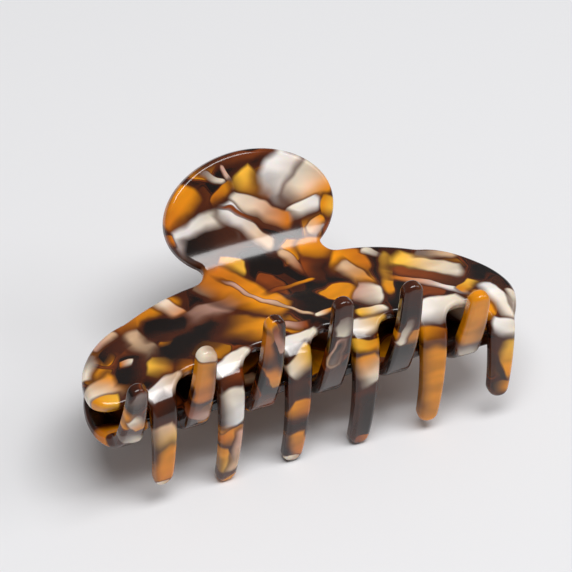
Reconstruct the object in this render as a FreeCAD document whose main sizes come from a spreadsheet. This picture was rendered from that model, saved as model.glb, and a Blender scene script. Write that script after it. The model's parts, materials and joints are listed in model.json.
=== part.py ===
import FreeCAD, Part
import math
import os

import Sketcher

# A claw clip for hair, lying closed on its side. Two identical jaws, cut and bent from thick acetate sheet,
# turn on a sprung steel hinge. +X runs along the hinge, the teeth point to -Y, the thumb tabs to +Y, and the
# clip rests on the z = 0 plane on its middle tooth tips and on the end of its lower thumb tab.
#
# Each piece is drawn in the clip's own frame and then placed: x along the hinge pin, y from the hinge towards
# the tabs, z from the plane between the jaws out through the upper jaw. The lower jaw is the same piece turned
# half round about y, so its teeth pass between those of the upper jaw.

Vec = FreeCAD.Vector
X_AXIS = Vec(1, 0, 0)
Y_AXIS = Vec(0, 1, 0)
Z_AXIS = Vec(0, 0, 1)
DOC = FreeCAD.newDocument("claw_clip")

# Lengths in millimetres, angles in degrees.
DIMENSIONS = {
    # the bent sheet, seen from the end
    "sheet_thickness": 3.6,
    "neck_height": 7.5,
    "neck_radius": 24,
    "tab_angle": 47,
    "rise_angle": 12,
    "rise_length": 12,
    "bend_radius": 8.5,
    "bend_angle": 75,
    "tooth_curve_radius": 75,
    "tooth_blank_sweep": 30,
    "tab_blank_length": 19,
    "crown_radius": 330,
    "crown_sweep": 22,
    # the outline of the sheet
    "tab_half_width": 22.6,
    "tab_half_height": 15.2,
    "tab_centre": 23.5,
    "tab_side_radius": 11,
    "neck_half_width": 15.6,
    "neck_fillet": 3.7,
    "toothed_end": 56.4,
    "lobed_end": 57.3,
    # the crown's back edge and end corners, in (x, y) or as an inset from its end
    "back_edge": 5.7,
    "back_bow_x": 29,
    "back_bow_y": 4.3,
    "shoulder_inset": 17.4,
    "shoulder_edge": 1,
    "corner_inset": 5.2,
    "corner_edge": -5.4,
    "end_edge": -18.2,
    # the comb of teeth; places along the sheet are counted from the neck
    "first_tooth_pitches": 2.25,
    "tooth_pitch": 18,
    "tooth_root_width": 7.2,
    "tooth_tip_width": 5.3,
    "tooth_root": 25.8,
    "gap_root": 22.8,
    "gap_arch": 20.3,
    "lobe_side": 15.5,
    "lobe_corner": 20.6,
    "lobe_corner_inset": 1.9,
    "lobe_edge_inset": 7.2,
    "lobe_fillet": 2.6,
    "last_flank_top": 14.5,
    "last_flank_bow": 0.5,
    "tooth_length_one": 52.3,
    "tooth_length_two": 61.55,
    "tooth_length_three": 62.1,
    "tooth_length_four": 61.9,
    "tooth_length_five": 57.5,
    "tooth_length_six": 50.8,
    # the hinge
    "pin_radius": 1,
    "pin_clearance": 0.04,
    "pin_head_radius": 1.7,
    "pin_head_height": 0.6,
    "leaf_length": 26,
    "leaf_width": 9.6,
    "leaf_thickness": 0.8,
    "leaf_face": 3.6,
    "seat_margin": 0.2,
    "ear_radius": 2.6,
    "ear_thickness": 0.8,
    "ear_outer_face": 12,
    "ear_gap": 0.3,
    "rivet_offset": 7.2,
    "rivet_radius": 0.8,
    "rivet_depth": 2.2,
    "rivet_head_radius": 1.4,
    "rivet_head_height": 0.5,
    "wire_radius": 0.6,
    "coil_radius": 2.4,
    "coil_pitch": 1.3,
    "coil_turns": 6.5,
    "wire_bend_radius": 1.8,
    "wire_elbow": 5.5,
    "wire_end": 12.2,
    "wire_end_height": 6.05,
    # how the clip lies
    "rest_tilt": -0.67,
    "hinge_rise": 26.915,
    "hinge_setback": 0.7,
}

SHEET = DOC.addObject("Spreadsheet::Sheet", "dimensions")
for row, (alias, value) in enumerate(DIMENSIONS.items(), start=1):
    SHEET.set(f"A{row}", alias)
    SHEET.set(f"B{row}", str(value))
    SHEET.setAlias(f"B{row}", alias)
DOC.recompute()

# How far the waste cut from the sheet reaches past the piece.
WASTE = 20


def dim(alias):
    """The value of a cell of the sheet."""
    return float(SHEET.get(alias))


def plane_of(body, role):
    """One of the body's own origin planes."""
    return next(f for f in body.Origin.OriginFeatures if f.Role == role)


def sketch_on(body, name, role, offset=None):
    """An empty sketch of the body on one of its origin planes."""
    sketch = body.newObject("Sketcher::SketchObject", name)
    sketch.AttachmentSupport = [(plane_of(body, role), "")]
    sketch.MapMode = "FlatFace"
    if offset is not None:
        sketch.AttachmentOffset = offset
    return sketch


def add_loop(sketch, edges, tangents=()):
    """Adds a closed run of edges, joined end to end; tangents lists the joints where two edges run on smoothly."""
    first = sketch.GeometryCount
    for edge in edges:
        sketch.addGeometry(edge, False)
    for i in range(len(edges)):
        here = first + i
        following = first + (i + 1) % len(edges)
        end, start = joint_ends(edges[i], edges[(i + 1) % len(edges)])
        kind = "Tangent" if i in tangents else "Coincident"
        sketch.addConstraint(Sketcher.Constraint(kind, here, end, following, start))
    return first


def joint_ends(edge, following):
    """Which ends of two neighbouring edges meet: 1 for a start point, 2 for an end point."""
    best = None
    for end, p in ((1, edge.StartPoint), (2, edge.EndPoint)):
        for start, q in ((1, following.StartPoint), (2, following.EndPoint)):
            gap = p.distanceToPoint(q)
            if best is None or gap < best[0]:
                best = (gap, end, start)
    return best[1], best[2]


def size(sketch, name, kind, geometry, formula):
    """Adds a named size to one edge of a sketch and ties it to the sheet."""
    edge = sketch.Geometry[geometry]
    value = edge.Radius if kind == "Radius" else edge.length()
    index = sketch.addConstraint(Sketcher.Constraint(kind, geometry, value))
    sketch.renameConstraint(index, name)
    sketch.setExpression("Constraints." + name, formula)


def line(p, q):
    return Part.LineSegment(Vec(p[0], p[1], 0), Vec(q[0], q[1], 0))


def arc3(p, middle, q):
    """The arc through three points. A sketch counts an arc's ends anticlockwise, so it is drawn that way round."""
    turn = (middle[0] - p[0]) * (q[1] - p[1]) - (middle[1] - p[1]) * (q[0] - p[0])
    if turn < 0:
        p, q = q, p
    return Part.Arc(Vec(p[0], p[1], 0), Vec(middle[0], middle[1], 0), Vec(q[0], q[1], 0))


def polar(centre, radius, degrees):
    """The point at an angle on a circle, counted from the circle's top towards the teeth."""
    a = math.radians(degrees)
    return (centre[0] - radius * math.sin(a), centre[1] + radius * math.cos(a))


# --- The bent sheet -----------------------------------------------------------------------------------------
# Seen from the end, in (y, z): the tab leans back from a hollow neck, the crown rises from the neck and turns
# down through the bend, and the teeth go on in a long shallow curve. A depth of 0 is the outer face, and
# sheet_thickness is the inner one.

TAB = dim("tab_angle")
RISE = dim("rise_angle")
BEND = dim("bend_angle")
NECK_CENTRE = (0, dim("neck_height") + dim("neck_radius"))
NECK_LENGTH = dim("neck_radius") * math.radians(RISE)
BEND_LENGTH = dim("bend_radius") * math.radians(RISE + BEND)


def along(start, degrees, distance):
    """The point at a distance from another, in a direction counted down from -y."""
    a = math.radians(degrees)
    return (start[0] - distance * math.cos(a), start[1] - distance * math.sin(a))


def neck_point(degrees, depth):
    return polar(NECK_CENTRE, -(dim("neck_radius") + depth), degrees)


RISE_START = neck_point(-RISE, 0)
RISE_END = along(RISE_START, -RISE, dim("rise_length"))
BEND_CENTRE = polar(RISE_END, -dim("bend_radius"), -RISE)
BEND_END = polar(BEND_CENTRE, dim("bend_radius"), BEND)
TOOTH_CENTRE = polar(BEND_END, -dim("tooth_curve_radius"), BEND)


def sheet_point(station, depth):
    """The point of the bent sheet at a length along its outer face, counted from the neck to the teeth."""
    turned = math.degrees(station / dim("neck_radius"))
    if turned <= RISE:
        return neck_point(-turned, depth)
    left = station - NECK_LENGTH
    if left <= dim("rise_length"):
        return along(neck_point(-RISE, depth), -RISE, left)
    left -= dim("rise_length")
    if left <= BEND_LENGTH:
        turned = math.degrees(left / dim("bend_radius")) - RISE
        return polar(BEND_CENTRE, dim("bend_radius") - depth, turned)
    left -= BEND_LENGTH
    turned = math.degrees(left / dim("tooth_curve_radius")) + BEND
    return polar(TOOTH_CENTRE, dim("tooth_curve_radius") - depth, turned)


def crown_drop(x):
    """How far the curve of the sheet along its length has carried it at x, in the direction of the teeth."""
    return x * x / (2 * dim("crown_radius"))


def drooped(point, x):
    """A point of the middle section as it lies at x, where the crown has turned away from the tab."""
    drop = crown_drop(x)
    a = math.radians(TAB)
    return (point[0] - drop * math.cos(a), point[1] - drop * math.sin(a))


def sheet_profile(sketch):
    """The section of the bent sheet, and the axis that the crown is turned about."""
    thick = dim("sheet_thickness")
    tab = dim("tab_blank_length")
    sweep = BEND + dim("tooth_blank_sweep")
    edges = []
    for depth in (0, thick):
        tab_start = neck_point(TAB, depth)
        bend_r = dim("bend_radius") - depth
        tooth_r = dim("tooth_curve_radius") - depth
        rise_start = neck_point(-RISE, depth)
        bend_start = polar(BEND_CENTRE, bend_r, -RISE)
        bend_end = polar(BEND_CENTRE, bend_r, BEND)
        tooth_end = polar(TOOTH_CENTRE, tooth_r, sweep)
        tab_end = along(tab_start, TAB, -tab)
        run = [
            line(tab_end, tab_start),
            arc3(tab_start, neck_point((TAB - RISE) / 2, depth), rise_start),
            line(rise_start, bend_start),
            arc3(bend_start, polar(BEND_CENTRE, bend_r, (BEND - RISE) / 2), bend_end),
            arc3(bend_end, polar(TOOTH_CENTRE, tooth_r, (BEND + sweep) / 2), tooth_end),
        ]
        edges.append((run, tab_end, tooth_end))
    outer, inner = edges
    loop = outer[0] + [line(outer[2], inner[2])] + inner[0][::-1] + [line(inner[1], outer[1])]
    add_loop(sketch, loop, tangents=(0, 1, 2, 3, 6, 7, 8, 9))
    size(sketch, "neck", "Radius", 1, "dimensions.neck_radius")
    size(sketch, "bend", "Radius", 3, "dimensions.bend_radius")
    size(sketch, "tooth_curve", "Radius", 4, "dimensions.tooth_curve_radius")
    size(sketch, "rise", "Distance", 2, "dimensions.rise_length")
    size(sketch, "tab", "Distance", 0, "dimensions.tab_blank_length")
    size(sketch, "thickness", "Distance", 11, "dimensions.sheet_thickness")
    # The crown turns about a far line square to the tab, which leaves the tab's two faces flat.
    a = math.radians(TAB)
    far = dim("crown_radius")
    foot = (-far * math.cos(a), -far * math.sin(a))
    head = (foot[0] - 10 * math.sin(a), foot[1] + 10 * math.cos(a))
    return sketch.addGeometry(line(foot, head), True)


def tab_plane():
    """The tab's plane through the hinge: its y runs up the tab."""
    return FreeCAD.Placement(Vec(0, 0, 0), FreeCAD.Rotation(X_AXIS, TAB))


def cut(body, name, sketch):
    """A pocket right through, both ways from the sketch."""
    before = body.Tip.Shape.Volume
    pocket = body.newObject("PartDesign::Pocket", name)
    pocket.Profile = sketch
    pocket.Type = 1
    pocket.Midplane = True
    sketch.Visibility = False
    DOC.recompute()
    assert pocket.Shape.Volume < before - 1, name + " removed nothing"
    return pocket


def tab_outline(sketch):
    """The waste round the oval tab, above the neck. In the sketch, y runs up the tab from the hinge."""
    half_w, half_h, centre = dim("tab_half_width"), dim("tab_half_height"), dim("tab_centre")
    side_r = dim("tab_side_radius")
    side_x = half_w - side_r
    top_r = (side_x**2 + half_h**2 - side_r**2) / (2 * (half_h - side_r))
    top_y = centre + half_h - top_r
    lean = math.atan2(centre - top_y, side_x)
    meet = (side_x + side_r * math.cos(lean), centre + side_r * math.sin(lean))
    fillet = dim("neck_fillet")
    neck = dim("neck_half_width")
    # The oval's side arc runs on down to the neck, where a fillet turns out into the crown.
    low = -math.acos((neck - side_x) / side_r)
    waist = (neck, centre + side_r * math.sin(low))
    corner = (neck + fillet, waist[1] - fillet)
    bow = (corner[0] - fillet * math.cos(math.radians(45)), corner[1] + fillet - fillet * math.sin(math.radians(45)))
    reach = dim("lobed_end") + WASTE
    height = centre + half_h + WASTE
    edges = [
        line((reach, corner[1]), corner),
        arc3(corner, bow, waist),
        arc3(waist, (half_w, centre), meet),
        arc3(meet, (0, centre + half_h), (-meet[0], meet[1])),
        arc3((-meet[0], meet[1]), (-half_w, centre), (-waist[0], waist[1])),
        arc3((-waist[0], waist[1]), (-bow[0], bow[1]), (-corner[0], corner[1])),
        line((-corner[0], corner[1]), (-reach, corner[1])),
        line((-reach, corner[1]), (-reach, height)),
        line((-reach, height), (reach, height)),
        line((reach, height), (reach, corner[1])),
    ]
    add_loop(sketch, edges)


def crown_outline(sketch, side, end):
    """The waste beyond one end of the crown, seen from above. side is 1 for the toothed end, -1 for the lobe."""
    neck, fillet = dim("neck_half_width"), dim("neck_fillet")
    past_tab = dim("tab_half_width") + fillet
    beyond = end + WASTE
    front, back = -2 * WASTE, 1.5 * WASTE
    corner = (neck + fillet, dim("back_edge"))
    waist = (neck, dim("back_edge") + fillet)
    above_waist = waist[1] + 0.8
    bow = (corner[0] - fillet * math.sin(math.radians(45)), waist[1] - fillet * math.sin(math.radians(45)))
    shoulder = (end - dim("shoulder_inset"), dim("shoulder_edge"))
    end_corner = (end - dim("corner_inset"), dim("corner_edge"))
    end_point = (end, dim("end_edge"))
    front_point = (end - 0.8, front)
    runs = [
        (corner, (dim("back_bow_x"), dim("back_bow_y")), shoulder),
        (shoulder, end_corner, end_point),
        (end_point, front_point),
        (front_point, (beyond, front)),
        ((beyond, front), (beyond, back)),
        ((beyond, back), (past_tab, back)),
        ((past_tab, back), (past_tab, above_waist)),
        ((past_tab, above_waist), (corner[0], above_waist)),
        ((corner[0], above_waist), waist),
        (waist, bow, corner),
    ]
    edges = []
    for run in runs:
        placed = [(side * x, y) for x, y in run]
        edges.append(arc3(*placed) if len(placed) == 3 else line(*placed))
    add_loop(sketch, edges)


ROOT_SLOPE = math.degrees((dim("gap_root") - NECK_LENGTH - dim("rise_length")) / dim("bend_radius")) - RISE


def root_plane():
    """The plane square to the sheet at the gap roots' height: its y runs from the teeth up to the roots."""
    return FreeCAD.Placement(Vec(0, 0, 0), FreeCAD.Rotation(X_AXIS, ROOT_SLOPE))


def root_point(station, x):
    """How high in that plane a point of the outer face is, given by its station and its x."""
    point = drooped(sheet_point(station, 0), x)
    a = math.radians(ROOT_SLOPE)
    return point[0] * math.cos(a) + point[1] * math.sin(a)


TOOTH_LENGTHS = [dim("tooth_length_" + n) for n in ("one", "two", "three", "four", "five", "six")]
TOOTH_XS = [(i - dim("first_tooth_pitches")) * dim("tooth_pitch") for i in range(len(TOOTH_LENGTHS))]


def flank(x, length, side):
    """The top and the foot of one side of a tooth, in the root plane."""
    root = root_point(dim("tooth_root"), x)
    tip = root_point(length, x)
    top = (x + side * dim("tooth_root_width") / 2, root)
    foot = (x + side * dim("tooth_tip_width") / 2, tip)
    slope = (foot[0] - top[0]) / (foot[1] - top[1])
    low = tip - WASTE / 2
    return top, (foot[0] + slope * (low - tip), low)


def gaps(sketch):
    """The five gaps between the teeth, each with an arched root."""
    for i in range(len(TOOTH_XS) - 1):
        left_top, left_foot = flank(TOOTH_XS[i], TOOTH_LENGTHS[i], 1)
        right_top, right_foot = flank(TOOTH_XS[i + 1], TOOTH_LENGTHS[i + 1], -1)
        middle = (left_top[0] + right_top[0]) / 2
        arch = (middle, root_point(dim("gap_arch"), middle))
        edges = [
            line(left_foot, left_top),
            arc3(left_top, arch, right_top),
            line(right_top, right_foot),
            line(right_foot, left_foot),
        ]
        add_loop(sketch, edges)


def lobe_edge(sketch):
    """The waste under the rounded lobe beyond the first tooth."""
    top, foot = flank(TOOTH_XS[0], TOOTH_LENGTHS[0], -1)
    end = -dim("lobed_end")
    fillet = dim("lobe_fillet")
    inner_x = top[0] - fillet
    outer_x = end + dim("lobe_edge_inset")
    corner_x = end + dim("lobe_corner_inset")
    inner = (inner_x, root_point(dim("gap_root"), inner_x))
    outer = (outer_x, root_point(dim("gap_root"), outer_x))
    side = (end, root_point(dim("lobe_side"), end))
    corner = (corner_x, root_point(dim("lobe_corner"), corner_x))
    edges = [
        line(foot, top),
        arc3(top, (top[0] - 0.3 * fillet, (inner[1] * 2 + top[1]) / 3), inner),
        line(inner, outer),
        arc3(outer, corner, side),
        line(side, (end - WASTE, side[1])),
        line((end - WASTE, side[1]), (end - WASTE, foot[1])),
        line((end - WASTE, foot[1]), foot),
    ]
    add_loop(sketch, edges)


def last_flank(sketch):
    """The waste beyond the last tooth, whose outer side runs down from the end of the crown."""
    top, foot = flank(TOOTH_XS[-1], TOOTH_LENGTHS[-1], 1)
    end = dim("toothed_end")
    side = (end, root_point(dim("last_flank_top"), end))
    middle = ((top[0] + end) / 2 + dim("last_flank_bow"), (top[1] + side[1]) / 2)
    edges = [
        line(foot, top),
        arc3(top, middle, side),
        line(side, (end + WASTE, side[1])),
        line((end + WASTE, side[1]), (end + WASTE, foot[1])),
        line((end + WASTE, foot[1]), foot),
    ]
    add_loop(sketch, edges)


def tips(sketch):
    """The waste round and below each tooth tip, seen from the front."""
    half = dim("tooth_tip_width") / 2
    beside = dim("tooth_root_width")
    for x, length in zip(TOOTH_XS, TOOTH_LENGTHS):
        tip_z = drooped(sheet_point(length, dim("sheet_thickness") / 2), x)[1]
        shoulder = tip_z + half
        low = tip_z - WASTE
        edges = [
            line((x - beside, shoulder), (x - half, shoulder)),
            arc3((x - half, shoulder), (x, tip_z), (x + half, shoulder)),
            line((x + half, shoulder), (x + beside, shoulder)),
            line((x + beside, shoulder), (x + beside, low)),
            line((x + beside, low), (x - beside, low)),
            line((x - beside, low), (x - beside, shoulder)),
        ]
        add_loop(sketch, edges)


def add_box(body, name, centre, lengths, formulas, subtract):
    """A box added to or taken from a body, centred on a point, with each side tied to the sheet."""
    kind = "PartDesign::SubtractiveBox" if subtract else "PartDesign::AdditiveBox"
    box = body.newObject(kind, name)
    box.AttachmentSupport = [(plane_of(body, "XY_Plane"), "")]
    box.MapMode = "FlatFace"
    corner = [c - l / 2 for c, l in zip(centre, lengths)]
    box.AttachmentOffset = FreeCAD.Placement(Vec(*corner), FreeCAD.Rotation())
    for side, length, formula in zip(("Length", "Width", "Height"), lengths, formulas):
        setattr(box, side, length)
        box.setExpression(side, formula)
    DOC.recompute()
    return box


def add_rod(body, name, centre, radius, length, direction, formulas, subtract=False):
    """A cylinder added to or taken from a body along x or z, centred on a point, tied to the sheet."""
    kind = "PartDesign::SubtractiveCylinder" if subtract else "PartDesign::AdditiveCylinder"
    rod = body.newObject(kind, name)
    rod.AttachmentSupport = [(plane_of(body, "XY_Plane"), "")]
    rod.MapMode = "FlatFace"
    turn = FreeCAD.Rotation(Z_AXIS, direction)
    base = Vec(*centre) - direction * (length / 2)
    rod.AttachmentOffset = FreeCAD.Placement(base, turn)
    rod.Radius = radius
    rod.Height = length
    rod.setExpression("Radius", formulas[0])
    rod.setExpression("Height", formulas[1])
    DOC.recompute()
    return rod


SEAT_FACE = dim("leaf_face") + dim("leaf_thickness")


def make_jaw(label):
    """One jaw: the thumb tab, the crown and the six teeth, all in one piece of acetate."""
    body = DOC.addObject("PartDesign::Body", label)
    body.Label = label
    profile = sketch_on(body, label + "_section", "YZ_Plane")
    axis = sheet_profile(profile)
    DOC.recompute()
    blank = body.newObject("PartDesign::Revolution", label + "_sheet")
    blank.Profile = profile
    blank.ReferenceAxis = (profile, ["Axis0"])
    blank.Angle = dim("crown_sweep")
    blank.setExpression("Angle", "dimensions.crown_sweep")
    blank.Midplane = True
    profile.Visibility = False
    DOC.recompute()

    tab = sketch_on(body, label + "_tab_outline", "XY_Plane", tab_plane())
    tab_outline(tab)
    cut(body, label + "_tab", tab)

    crown = sketch_on(body, label + "_crown_outline", "XY_Plane")
    crown_outline(crown, 1, dim("toothed_end"))
    crown_outline(crown, -1, dim("lobed_end"))
    cut(body, label + "_crown", crown)

    combs = sketch_on(body, label + "_gap_outline", "XY_Plane", root_plane())
    gaps(combs)
    lobe_edge(combs)
    last_flank(combs)
    cut(body, label + "_gaps", combs)

    points = sketch_on(body, label + "_tip_outline", "XZ_Plane")
    tips(points)
    cut(body, label + "_tips", points)

    margin = 2 * dim("seat_margin")
    seat = (dim("leaf_length") + margin, dim("leaf_width") + margin, SEAT_FACE)
    add_box(body, label + "_leaf_seat", (0, 0, SEAT_FACE / 2), seat, (
        "dimensions.leaf_length + 2 * dimensions.seat_margin",
        "dimensions.leaf_width + 2 * dimensions.seat_margin",
        "dimensions.leaf_face + dimensions.leaf_thickness",
    ), True)
    for i, side in enumerate((-1, 1)):
        depth = dim("rivet_depth")
        centre = (side * dim("rivet_offset"), 0, SEAT_FACE + depth / 2)
        add_rod(body, f"{label}_rivet_hole_{i}", centre, dim("rivet_radius"), depth, Z_AXIS,
                ("dimensions.rivet_radius", "dimensions.rivet_depth"), True)
    return body


def make_leaf(label):
    """One hinge leaf: a steel plate let into the jaw's inner face, with two ears bent down round the pin."""
    body = DOC.addObject("PartDesign::Body", label)
    body.Label = label
    face, thick = dim("leaf_face"), dim("leaf_thickness")
    plate = (dim("leaf_length"), dim("leaf_width"), thick)
    add_box(body, label + "_plate", (0, 0, face + thick / 2), plate, (
        "dimensions.leaf_length", "dimensions.leaf_width", "dimensions.leaf_thickness",
    ), False)
    ear = dim("ear_thickness")
    outer_ear_x = ear / 2 - dim("ear_outer_face")
    inner_ear_x = -outer_ear_x - ear - dim("ear_gap")
    for i, x in enumerate((outer_ear_x, inner_ear_x)):
        web = (ear, 2 * dim("ear_radius"), face)
        add_box(body, f"{label}_web_{i}", (x, 0, face / 2), web, (
            "dimensions.ear_thickness", "2 * dimensions.ear_radius", "dimensions.leaf_face",
        ), False)
        add_rod(body, f"{label}_ear_{i}", (x, 0, 0), dim("ear_radius"), ear, X_AXIS,
                ("dimensions.ear_radius", "dimensions.ear_thickness"))
    bore = dim("pin_radius") + dim("pin_clearance")
    add_rod(body, label + "_pin_hole", (0, 0, 0), bore, dim("leaf_length"), X_AXIS,
            ("dimensions.pin_radius + dimensions.pin_clearance", "dimensions.leaf_length"), True)
    for i, side in enumerate((-1, 1)):
        add_rod(body, f"{label}_rivet_hole_{i}", (side * dim("rivet_offset"), 0, face + thick / 2),
                dim("rivet_radius"), thick, Z_AXIS, ("dimensions.rivet_radius", "dimensions.leaf_thickness"), True)
    return body


def make_rivets(label):
    """The two blind rivets that hold a leaf: shanks pressed into the acetate, low heads on the leaf."""
    body = DOC.addObject("PartDesign::Body", label)
    body.Label = label
    body.AllowCompound = True
    face, head = dim("leaf_face"), dim("rivet_head_height")
    shank_length = dim("leaf_thickness") + dim("rivet_depth")
    x = dim("rivet_offset")
    shank = add_rod(body, label + "_shank", (x, 0, face + shank_length / 2), dim("rivet_radius"), shank_length, Z_AXIS,
                    ("dimensions.rivet_radius", "dimensions.leaf_thickness + dimensions.rivet_depth"))
    cap = add_rod(body, label + "_head", (x, 0, face - head / 2), dim("rivet_head_radius"), head, Z_AXIS,
                  ("dimensions.rivet_head_radius", "dimensions.rivet_head_height"))
    pair = body.newObject("PartDesign::Mirrored", label + "_pair")
    pair.Originals = [shank, cap]
    pair.MirrorPlane = (plane_of(body, "YZ_Plane"), [""])
    body.Tip = pair
    DOC.recompute()
    return body


def make_pin(label):
    """The hinge pin, peened over outside the outer ears."""
    body = DOC.addObject("PartDesign::Body", label)
    body.Label = label
    head, play = dim("pin_head_height"), dim("ear_gap") / 4
    shaft = 2 * (dim("ear_outer_face") + play)
    add_rod(body, label + "_shaft", (0, 0, 0), dim("pin_radius"), shaft, X_AXIS,
            ("dimensions.pin_radius", "2 * dimensions.ear_outer_face + dimensions.ear_gap / 2"))
    for i, side in enumerate((-1, 1)):
        centre = (side * (shaft + head) / 2, 0, 0)
        add_rod(body, f"{label}_head_{i}", centre, dim("pin_head_radius"), head, X_AXIS,
                ("dimensions.pin_head_radius", "dimensions.pin_head_height"))
    return body


def wire_leg(start, elbow, end):
    """A leg of spring wire: two straight runs with a round bend at the elbow."""
    start, elbow, end = Vec(*start), Vec(*elbow), Vec(*end)
    first = (elbow - start).normalize()
    last = (end - elbow).normalize()
    half_turn = first.getAngle(last) / 2
    bend = dim("wire_bend_radius")
    before = elbow - first * (bend * math.tan(half_turn))
    after = elbow + last * (bend * math.tan(half_turn))
    middle = elbow + (last - first).normalize() * (bend / math.cos(half_turn) - bend)
    path = Part.Wire([
        Part.LineSegment(start, before).toShape(),
        Part.Arc(before, middle, after).toShape(),
        Part.LineSegment(after, end).toShape(),
    ])
    ring = Part.Wire(Part.makeCircle(dim("wire_radius"), start, first))
    return path.makePipeShell([ring], True, True)


def make_spring(label):
    """The torsion spring: a close coil round the pin, whose ends run on into a leg under each tab."""
    radius, pitch, turns = dim("coil_radius"), dim("coil_pitch"), dim("coil_turns")
    length = pitch * turns
    helix = Part.makeHelix(pitch, length, radius)
    start = Vec(radius, 0, 0)
    tangent = Vec(0, 2 * math.pi * radius, pitch)
    ring = Part.Wire(Part.makeCircle(dim("wire_radius"), start, tangent))
    coil = Part.Wire(helix).makePipeShell([ring], True, True)
    # The helix climbs +z from +x; it is turned to run along -x from the coil's underside.
    turn = FreeCAD.Rotation(-Z_AXIS, -Y_AXIS, -X_AXIS, "ZXY")
    coil.Placement = FreeCAD.Placement(Vec(length / 2, 0, 0), turn)
    climb = pitch / (2 * math.pi * radius)
    solids = [coil]
    for side in (-1, 1):
        points = [(0, radius), (dim("wire_elbow"), radius), (dim("wire_end"), dim("wire_end_height"))]
        solids.append(wire_leg(*[(-side * (length / 2 + climb * y), y, side * z) for y, z in points]))
    spring = DOC.addObject("Part::Feature", label)
    spring.Label = label
    spring.Shape = Part.makeCompound(solids)
    return spring


HINGE = Vec(0, dim("hinge_setback"), dim("hinge_rise"))
UPPER_PLACE = FreeCAD.Placement(HINGE, FreeCAD.Rotation(X_AXIS, dim("rest_tilt")))
LOWER_PLACE = UPPER_PLACE * FreeCAD.Placement(Vec(0, 0, 0), FreeCAD.Rotation(Y_AXIS, 180))

pieces = []
for where, place in (("upper", UPPER_PLACE), ("lower", LOWER_PLACE)):
    for piece in (make_jaw(where + "_jaw"), make_leaf(where + "_hinge_leaf"), make_rivets(where + "_leaf_rivets")):
        piece.Placement = place
        pieces.append(piece)
for piece in (make_pin("hinge_pin"), make_spring("torsion_spring")):
    piece.Placement = UPPER_PLACE
    pieces.append(piece)
for piece in pieces:
    piece.setExpression("Placement.Base.y", "dimensions.hinge_setback")
    piece.setExpression("Placement.Base.z", "dimensions.hinge_rise")
DOC.recompute()

for thing in DOC.Objects:
    faults = [state for state in thing.State if state in ("Invalid", "Error")]
    assert not faults, f"{thing.Label}: {faults}"
os.makedirs("parts", exist_ok=True)
for piece in pieces:
    assert not piece.Shape.isNull() and piece.Shape.isValid(), piece.Label
for piece in pieces:
    piece.Shape.exportStep(f"parts/{piece.Label}.step")
    box = piece.Shape.BoundBox
    print(f"{piece.Label}: {len(piece.Shape.Solids)} solid(s), {piece.Shape.Volume:.1f} mm3,",
          f"x {box.XMin:.2f} to {box.XMax:.2f}, y {box.YMin:.2f} to {box.YMax:.2f}, z {box.ZMin:.2f} to {box.ZMax:.2f}")
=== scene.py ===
import json
import math

import bpy
import numpy as np
from mathutils import Matrix, Vector
from mathutils.geometry import delaunay_2d_cdt

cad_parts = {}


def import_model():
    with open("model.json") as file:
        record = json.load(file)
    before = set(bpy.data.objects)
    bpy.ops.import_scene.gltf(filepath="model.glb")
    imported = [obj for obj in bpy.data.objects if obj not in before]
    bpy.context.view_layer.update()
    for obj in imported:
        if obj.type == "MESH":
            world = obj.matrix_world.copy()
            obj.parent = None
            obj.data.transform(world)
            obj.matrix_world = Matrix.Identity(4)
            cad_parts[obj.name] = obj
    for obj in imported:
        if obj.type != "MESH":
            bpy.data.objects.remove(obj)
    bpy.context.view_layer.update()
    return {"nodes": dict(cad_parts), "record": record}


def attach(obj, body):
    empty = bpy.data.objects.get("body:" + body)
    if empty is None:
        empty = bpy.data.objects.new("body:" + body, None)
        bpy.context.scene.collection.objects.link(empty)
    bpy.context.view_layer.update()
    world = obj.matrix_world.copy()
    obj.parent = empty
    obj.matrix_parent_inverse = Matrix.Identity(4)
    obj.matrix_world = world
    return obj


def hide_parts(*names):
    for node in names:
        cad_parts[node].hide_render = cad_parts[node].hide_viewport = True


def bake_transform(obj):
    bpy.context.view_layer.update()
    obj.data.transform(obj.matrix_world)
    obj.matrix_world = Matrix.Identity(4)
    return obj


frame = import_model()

# A tortoiseshell claw clip lying closed on its side. Each jaw is modelled again as a polished, round-edged
# sheet that follows the same section and outline as its CAD solid. Lengths are in millimetres, and MM turns
# them into metres. A place on a jaw is (x, station): x along the hinge, and station the length along the
# sheet's outer face from the neck, negative on the thumb tab and positive towards the teeth.

MM = 0.001
HINGE = Vector(frame["record"]["behaviour"]["joints"][0]["pos_m"])
REST_TILT = math.radians(-0.67)

# --- The bent sheet, as in the CAD --------------------------------------------------------------------------
THICKNESS = 3.6
NECK_HEIGHT = 7.5
NECK_RADIUS = 24
TAB_ANGLE = math.radians(47)
RISE_ANGLE = math.radians(12)
RISE_LENGTH = 12
BEND_RADIUS = 8.5
BEND_ANGLE = math.radians(75)
TOOTH_CURVE = 75
CROWN_RADIUS = 330

TAB_START = -NECK_RADIUS * TAB_ANGLE
RISE_START = NECK_RADIUS * RISE_ANGLE
BEND_START = RISE_START + RISE_LENGTH
TOOTH_START = BEND_START + BEND_RADIUS * (RISE_ANGLE + BEND_ANGLE)


def facing(angle):
    """The direction square to the sheet, in (y, z), at an angle turned from upright towards the teeth."""
    return np.array([-math.sin(angle), math.cos(angle)])


def heading(angle):
    """The direction along the sheet towards the teeth, in (y, z)."""
    return np.array([-math.cos(angle), -math.sin(angle)])


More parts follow.
